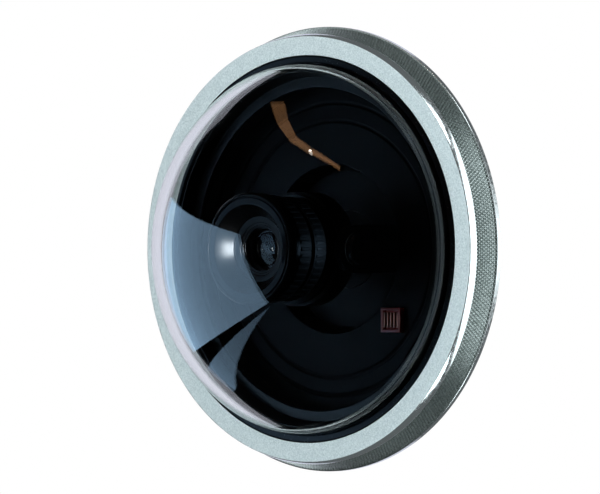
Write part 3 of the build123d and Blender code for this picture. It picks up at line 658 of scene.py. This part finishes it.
def link(material, source, socket):
    """Feed a socket of the shader."""
    material.node_tree.links.new(source, shader_of(material).inputs[socket])


def bump(material, source, strength, distance):
    """Raise the surface by a texture; distance is in metres."""
    node = material.node_tree.nodes.new("ShaderNodeBump")
    node.inputs["Strength"].default_value = strength
    node.inputs["Distance"].default_value = distance
    material.node_tree.links.new(source, node.inputs["Height"])
    link(material, node.outputs["Normal"], "Normal")


# %% [markdown]
# The ring's face is bead-blasted and anodised, which leaves a fine bright and dark grain. The
# bevel and the back lip were cut after that, so they are polished, and the knurl is between.

# %% Ring finishes
satin = finish("satin_anodised", (0.57, 0.66, 0.70), 0.42, 0.35)
grain = texture(satin, "ShaderNodeTexNoise", 2600.0, Detail=3.0, Roughness=0.7)
satin_tones = ramp(satin, grain.outputs["Fac"], (0.50, 0.57, 0.59), (0.88, 0.93, 0.94), 0.3, 0.7)
link(satin, satin_tones, "Base Color")
link(satin, ramp(satin, grain.outputs["Fac"], 0.34, 0.52, 0.3, 0.7), "Roughness")
bump(satin, grain.outputs["Fac"], 0.25, 0.05 * MM)

polished = finish("polished_edge", (0.86, 0.90, 0.92), 0.16, 1.0)
lathe_marks = texture(polished, "ShaderNodeTexNoise", 900.0, Detail=2.0)
link(polished, ramp(polished, lathe_marks.outputs["Fac"], 0.10, 0.22, 0.35, 0.65), "Roughness")

knurl_metal = finish("knurl_metal", (0.42, 0.45, 0.44), 0.3, 1.0)
wear = texture(knurl_metal, "ShaderNodeTexNoise", 1400.0, Detail=4.0)
worn_tones = ramp(knurl_metal, wear.outputs["Fac"], (0.20, 0.23, 0.22), (0.42, 0.46, 0.46), 0.3, 0.7)
link(knurl_metal, worn_tones, "Base Color")


def assign(piece, *materials):
    """Give a piece these material slots."""
    piece.data.materials.clear()
    for material in materials:
        piece.data.materials.append(material)


def paint(piece, index, test):
    """Use one of a piece's materials on the faces whose centre passes a test."""
    for face in piece.data.polygons:
        if test(math.hypot(face.center.x, face.center.z), -face.center.y):
            face.material_index = index


assign(trim_ring, polished, satin, knurl_metal)
paint(trim_ring, 1, lambda r, h: h > face_h - 0.02 * MM)
paint(trim_ring, 2, lambda r, h: KNURL_END_H < h < BAND_H - 0.1 * MM and r > BAND_R - 1.0 * MM)
assign(knurl, knurl_metal)

# %% [markdown]
# Clear polycarbonate bends light a little more than window glass. It is left perfectly clean and smooth.

# %% Clear plastic and rubber
clear = finish("clear_polycarbonate", (0.985, 0.995, 0.99), 0.0, 0.0, Transmission_Weight=1.0, IOR=1.58)
assign(dome, clear)

rubber = finish("black_rubber", (0.008, 0.008, 0.009), 0.55)
dust = texture(rubber, "ShaderNodeTexVoronoi", 900.0)
specks = ramp(rubber, dust.outputs["Distance"], (0.5, 0.55, 0.6), (0.007, 0.007, 0.009), 0.0, 0.14)
link(rubber, specks, "Base Color")
assign(gasket, rubber)

# %% [markdown]
# Some black parts have a fine spark texture that catches a broad, soft highlight; the liner, the cover,
# the lens parts and the grips are plain black.

# %% Black plastics
def spark_black(name, colour, roughness, depth):
    """Black plastic from a spark-eroded mould."""
    material = finish(name, colour, roughness)
    sparks = texture(material, "ShaderNodeTexNoise", 3200.0, Detail=2.0)
    gloss = ramp(material, sparks.outputs["Fac"], roughness - 0.06, roughness + 0.1, 0.3, 0.7)
    link(material, gloss, "Roughness")
    bump(material, sparks.outputs["Fac"], 0.3, depth)
    return material


liner_black = finish("liner_black", (0.005, 0.006, 0.008), 0.32, Specular_IOR_Level=0.35)
cover_black = finish("cover_black", (0.002, 0.002, 0.003), 0.5, Specular_IOR_Level=0.12)
lens_black = finish("lens_black_satin", (0.006, 0.007, 0.009), 0.24, Specular_IOR_Level=0.14)
nylon = spark_black("gland_nylon", (0.02, 0.02, 0.022), 0.42, 0.02 * MM)
casting = spark_black("powder_coat", (0.005, 0.005, 0.006), 0.5, 0.06 * MM)
shader_of(casting).inputs["Specular IOR Level"].default_value = 0.15
resin = spark_black("chip_resin", (0.02, 0.02, 0.021), 0.6, 0.02 * MM)
assign(liner, liner_black)
assign(cover, cover_black)
grip_black = finish("grip_rubber", (0.004, 0.004, 0.006), 0.6, Specular_IOR_Level=0.3)
for piece in (bezel, lock_ring):
    assign(piece, lens_black)
for piece in (zoom_grip, focus_grip):
    assign(piece, grip_black)

# %% Glass, metals and the board
lens_glass = finish(
    "coated_glass", (0.9, 0.95, 1.0), 0.0, 0.0, Transmission_Weight=1.0, IOR=1.36
)
assign(glass, lens_glass)
red_plastic = finish("red_plastic", (0.45, 0.03, 0.03), 0.35)
plated = finish("plated_blades", (0.34, 0.20, 0.17), 0.5, 1.0)
assign(socket, red_plastic)
assign(blades, plated)
screw_steel = finish("screw_steel", (0.16, 0.16, 0.17), 0.35, 1.0)
brass = finish("plated_brass", (0.75, 0.6, 0.3), 0.25, 1.0)
can_metal = finish("capacitor_can", (0.7, 0.71, 0.72), 0.3, 1.0)
natural = finish("natural_washer", (0.7, 0.69, 0.64), 0.5)
terminal = finish("terminal_green", (0.03, 0.25, 0.1), 0.4)
mask = finish("solder_mask", (0.015, 0.09, 0.04), 0.3)
tracks = texture(mask, "ShaderNodeTexBrick", 400.0)
link(mask, ramp(mask, tracks.outputs["Fac"], (0.012, 0.08, 0.035), (0.03, 0.16, 0.07)), "Base Color")

slot_finish = {
    "black_casting": casting, "black_plastic": cover_black, "lens_black": lens_black,
    "lens_glass": lens_glass, "rubber_seal": rubber, "gland_nylon": nylon,
    "steel_screw": screw_steel, "circuit_board": mask, "chip_resin": resin,
    "capacitor_can": can_metal, "terminal_green": terminal, "brass_socket": brass,
    "red_plastic": red_plastic, "washer_plastic": natural, "silver_ring": satin,
    "clear_dome": clear,
}
for row in frame["record"]["subparts"]:
    assign(frame["nodes"][row["node"]], slot_finish[row["material_slot"]])
can_paint = spark_black("can_paint", (0.02, 0.02, 0.022), 0.45, 0.06 * MM)
assign(frame["nodes"]["housing_can"], can_paint)
print("finishes", len(slot_finish))

# %% [markdown]
# ## Studio
#
# The dome mirrors everything in front of it, so the studio is mostly dark. A pale card stands
# to the left in two pieces, with a gap between them, and a bent warm strip hangs above with
# one small lamp at its middle. Places are given from the dome, in the camera's own right, up
# and towards-camera directions.

# %% Cards and lamps
CARD_FAR = 1.2


def glow(name, colour, strength):
    """A material that only gives light."""
    material = bpy.data.materials.new(name)
    material.use_nodes = True
    tree = material.node_tree
    tree.nodes.clear()
    lamp = tree.nodes.new("ShaderNodeEmission")
    lamp.inputs["Color"].default_value = (*colour, 1)
    lamp.inputs["Strength"].default_value = strength
    out = tree.nodes.new("ShaderNodeOutputMaterial")
    tree.links.new(lamp.outputs["Emission"], out.inputs["Surface"])
    return material


def studio_point(right, up, toward, far=CARD_FAR):
    """A place in the studio, from the dome's middle."""
    flat = (math.sin(VIEW_TURN), -math.cos(VIEW_TURN))
    return (
        (right * right_way[0] + toward * flat[0]) * far,
        (right * right_way[1] + toward * flat[1]) * far,
        up * far,
    )


def light_only(lamp, pieces):
    """Let a lamp light these pieces and nothing else."""
    group = bpy.data.collections.new(lamp.name + "_lights")
    for piece in pieces:
        group.objects.link(piece)
    lamp.light_linking.receiver_collection = group
    lamp.visible_camera = False
    lamp.visible_diffuse = False


def card(name, corners, colour, strength, lit=None):
    """A flat card with the given corners, which only lights some pieces if they are given."""
    bpy.ops.object.select_all(action="DESELECT")
    bpy.ops.mesh.primitive_plane_add(size=1)
    piece = bpy.context.object
    piece.name = name
    for vertex, corner in zip(piece.data.vertices, (corners[0], corners[1], corners[3], corners[2])):
        vertex.co = studio_point(*corner)
    assign(piece, glow(name + "_glow", colour, strength))
    piece.visible_camera = False
    if lit:
        light_only(piece, lit)
    return piece


PALE = (0.44, 0.70, 1.0)
left_corners = [(-0.66, 0.19, -0.73), (-0.93, 0.12, 0.35), (-0.73, -0.45, 0.50), (-0.57, -0.37, -0.73)]
low_corners = [(-0.56, -0.46, -0.70), (-0.72, -0.48, 0.50), (-0.53, -0.62, -0.56), (-0.50, -0.60, -0.65)]
card("card_left", left_corners, PALE, 1.45, (dome, gasket))
card("card_low", low_corners, PALE, 0.7, (dome, gasket))
WARM = (1.0, 0.5, 0.22)
# the lower and the upper edge of the strip, from its left end to its right end
strip_edges = [
    ((-0.47, 0.82, -0.33), (-0.42, 0.88, -0.23)),
    ((-0.53, 0.85, 0.0), (-0.46, 0.89, 0.0)),
    ((-0.50, 0.82, 0.27), (-0.45, 0.855, 0.26)),
    ((-0.39, 0.79, 0.47), (-0.355, 0.815, 0.45)),
    ((-0.145, 0.70, 0.70), (-0.14, 0.72, 0.68)),
]
for step, (near, far) in enumerate(zip(strip_edges, strip_edges[1:])):
    card(f"strip_{step}", [near[0], far[0], far[1], near[1]], WARM, 0.5 + 0.3 * step)
LAMP = (1.0, 0.95, 0.85)
lamp_corners = [(-0.385, 0.79, 0.46), (-0.36, 0.785, 0.50), (-0.34, 0.80, 0.485), (-0.365, 0.81, 0.45)]
card("lamp", lamp_corners, LAMP, 25.0)

# %% [markdown]
# Metal needs bright surroundings, which would fill the dome with reflections. So the ring has
# cards of its own: two for its face, one for its side, two that make the knurl sparkle, and a
# dim tent all round. One more card behind the ring also lights the edge of the dome.

# %% Cards for the ring
ring_pieces = (trim_ring, knurl)
SILVER = (0.91, 0.99, 1.0)
face_corners = [(-1, 0.9, -0.9), (-1, 0.9, 0.9), (-1, -0.9, 0.9), (-1, -0.9, -0.9)]
front_corners = [(-2.2, 1.5, 0.7), (-0.4, 1.5, 2.3), (-0.4, -1.5, 2.3), (-2.2, -1.5, 0.7)]
side_corners = [(1, 1.8, -0.15), (0.75, 1.8, 1.7), (0.75, -1.8, 1.7), (1, -1.8, -0.15)]
card("face_card", face_corners, SILVER, 0.9, ring_pieces)
front_card = card("front_card", front_corners, (0.85, 0.97, 1.0), 14.0, (trim_ring,))
front_card.visible_diffuse = True
for name, side in (("spark_high", 1), ("spark_low", -1)):
    spark_corners = [(0.1, 1.1, 0.9), (0.9, 1.1, 0.7), (0.9, 1.3, 0.3), (0.1, 1.3, 0.5)]
    card(name, [(x, up * side, toward) for x, up, toward in spark_corners], SILVER, 5.0, ring_pieces)
card("side_card", side_corners, SILVER, 2.0, ring_pieces)
bpy.ops.object.select_all(action="DESELECT")
bpy.ops.mesh.primitive_uv_sphere_add(segments=32, ring_count=16, radius=1.8)
tent = bpy.context.object
tent.name = "ring_tent"
assign(tent, glow("tent_glow", SILVER, 0.12))
light_only(tent, ring_pieces)
tent.visible_transmission = False
BACK = (0.86, 0.88, 1.0)
back_corners = [(-0.9, 0.9, -1.15), (0.9, 0.9, -1.15), (0.9, -0.9, -1.15), (-0.9, -0.9, -1.15)]
card("back_card", back_corners, BACK, 0.8, (dome, *ring_pieces))

# %% [markdown]
# The back of the can faces away from all of that, so it has a card of its own behind it.

# %% Card for the back
back_nodes = ("housing_can", "wall_gasket", "gland_body", "gland_cap", "gland_seal", "gland_washer")
fill_corners = [(-0.6, 1.2, -1.4), (1.6, 1.2, -0.9), (1.6, -0.3, -0.9), (-0.6, -0.3, -1.4)]
fill = card("back_fill", fill_corners, BACK, 5.0, [frame["nodes"][name] for name in back_nodes])
fill.visible_diffuse = True

# %% [markdown]
# No light from outside reaches the lens head well, because the curved wall bends it. So four
# tiny lamps hang inside the dome: one for the funnel's wall, one for the side of the barrel,
# one for the socket, and one for a glint in the glass. Each lights only its own pieces.

# %% Lamps inside the dome
def front_glow(name, colour, strength):
    """A glow that only leaves the front of a face."""
    material = glow(name, colour, strength)
    tree = material.node_tree
    side = tree.nodes.new("ShaderNodeNewGeometry")
    power = tree.nodes.new("ShaderNodeMapRange")
    power.inputs["To Min"].default_value = strength
    power.inputs["To Max"].default_value = 0
    tree.links.new(side.outputs["Backfacing"], power.inputs["Value"])
    tree.links.new(power.outputs["Result"], tree.nodes["Emission"].inputs["Strength"])
    return material


def inner_lamp(name, place, size, facing, colour, strength, lit):
    """A small square lamp inside the dome, at a place in millimetres, turned round from -Y."""
    bpy.ops.object.select_all(action="DESELECT")
    bpy.ops.mesh.primitive_plane_add(
        size=size * MM,
        location=[value * MM for value in place],
        rotation=(math.pi / 2, 0, math.radians(facing)),
    )
    lamp = bpy.context.object
    lamp.name = name
    bpy.ops.object.transform_apply(location=True, rotation=True, scale=True)
    assign(lamp, front_glow(name + "_glow", colour, strength))
    light_only(lamp, lit)
    return lamp


COOL = (0.86, 0.94, 1.0)
SOFT_RED = (1.0, 0.7, 0.62)
socket_x, socket_z = [(socket_low[axis] + socket_high[axis]) / 2 / MM for axis in (0, 2)]
wall_lamp = inner_lamp("wall_lamp", (9.5, -47.5, 0), 9, 248, COOL, 110.0, (bezel,))
side_lamp = inner_lamp("side_lamp", (33, -21, 0), 9, 230, PALE, 18.0, (bezel, zoom_grip, focus_grip))
socket_place = (socket_x, -21, socket_z)
socket_lamp = inner_lamp("socket_lamp", socket_place, 6, 180, SOFT_RED, 7.0, (socket, blades))
for lamp in (wall_lamp, side_lamp, socket_lamp):
    lamp.visible_transmission = False
inner_lamp("glint_lamp", (-14.5, -43.8, 0), 1, 123, LAMP, 900.0, (glass,))

# %% [markdown]
# The background is white to the eye, but a white room would grey every black part. So the
# air is white only for rays that come straight from the camera, or straight through clear
# plastic, and it is almost black for every ray that has met a surface.

# %% Air of the studio
DARK_STRENGTH = 0.005
world = bpy.data.worlds.new("studio_air")
bpy.context.scene.world = world
world.use_nodes = True
air = world.node_tree
air.nodes.clear()
path = air.nodes.new("ShaderNodeLightPath")


def math_node(operation, first, second):
    """A math node; either input is a socket or a number."""
    node = air.nodes.new("ShaderNodeMath")
    node.operation = operation
    for slot, value in zip(node.inputs, (first, second)):
        if isinstance(value, float):
            slot.default_value = value
        else:
            air.links.new(value, slot)
    return node.outputs["Value"]


bounces = math_node("ADD", path.outputs["Diffuse Depth"], path.outputs["Glossy Depth"])
straight = math_node("LESS_THAN", bounces, 0.5)
through = math_node("MULTIPLY", path.outputs["Is Transmission Ray"], straight)
seen = math_node("MAXIMUM", path.outputs["Is Camera Ray"], through)
dark = air.nodes.new("ShaderNodeBackground")
dark.inputs["Color"].default_value = (0.75, 0.88, 1.0, 1)
dark.inputs["Strength"].default_value = DARK_STRENGTH
white = air.nodes.new("ShaderNodeBackground")
choose = air.nodes.new("ShaderNodeMixShader")
white.inputs["Color"].default_value = (1, 1, 1, 1)
out = air.nodes.new("ShaderNodeOutputWorld")
air.links.new(seen, choose.inputs["Fac"])
air.links.new(dark.outputs["Background"], choose.inputs[1])
air.links.new(white.outputs["Background"], choose.inputs[2])
air.links.new(choose.outputs["Shader"], out.inputs["Surface"])
bpy.context.scene.view_settings.view_transform = "Standard"

# %% [markdown]
# The camera hangs on a wall well above the floor, so the floor only shows from other sides. It
# is a plain glow that nothing mirrors, so that it doesn't light the dome from below.

# %% Floor
FLOOR_Z = -0.6
bpy.ops.object.select_all(action="DESELECT")
bpy.ops.mesh.primitive_circle_add(vertices=96, radius=3.0, fill_type="NGON", location=(0, 0, FLOOR_Z))
floor = bpy.context.object
floor.name = "floor"
assign(floor, glow("pale_floor", (0.86, 0.87, 0.88), 0.9))
floor.visible_diffuse = False
floor.visible_glossy = False
floor.visible_transmission = False
